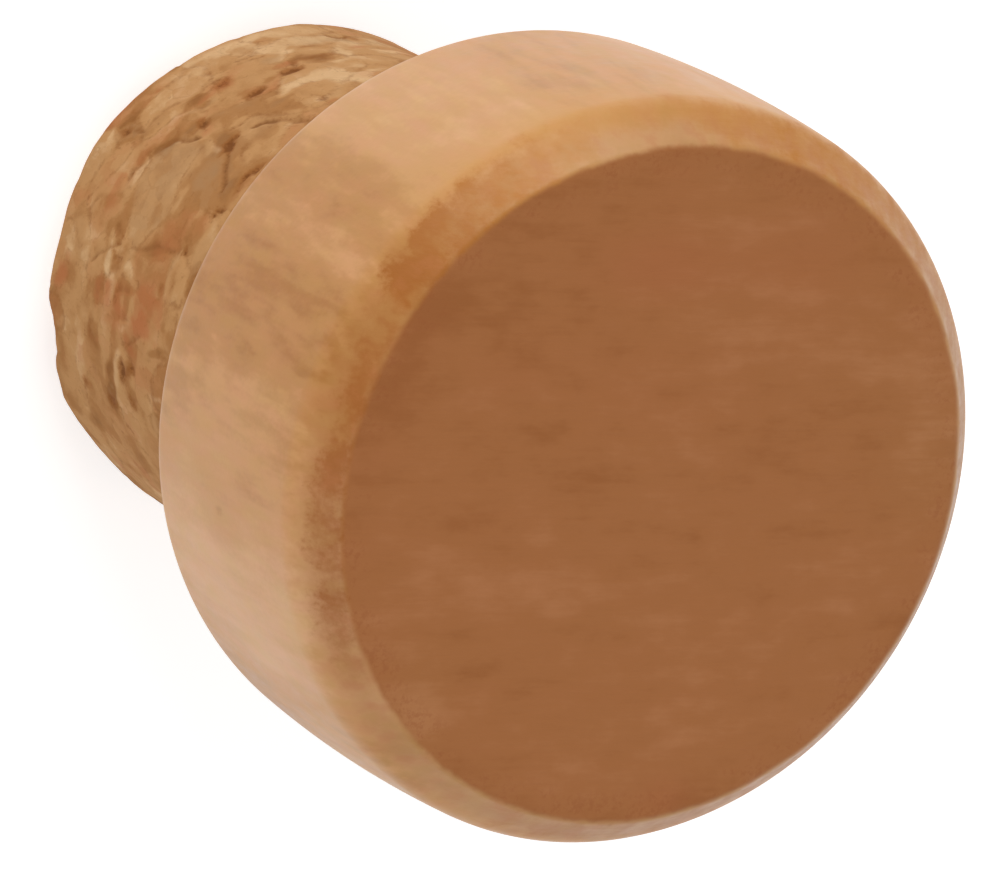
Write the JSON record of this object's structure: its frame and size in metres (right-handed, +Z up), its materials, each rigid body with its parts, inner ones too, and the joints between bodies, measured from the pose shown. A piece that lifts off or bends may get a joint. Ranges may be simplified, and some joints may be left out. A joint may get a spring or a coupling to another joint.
{
  "type": "cork stopper",
  "caption": "T-shaped bottle stopper: a turned, varnished wooden cap of 28 mm glued on a straight 20 mm shank of pressed cork granules.",
  "frame": {"origin": "centre of the cork's flat tip, which the stopper stands on", "axes": "+Z up the stopper's axis, from the tip of the cork to the face of the cap"},
  "size_m": [0.028, 0.028, 0.0315],
  "materials": {
    "varnished_wood": "satin",
    "pressed_cork": "matte"
  },
  "bodies": {
    "root": {"wood_cap": "varnished_wood", "cork_shank": "pressed_cork"}
  },
  "joints": []
}
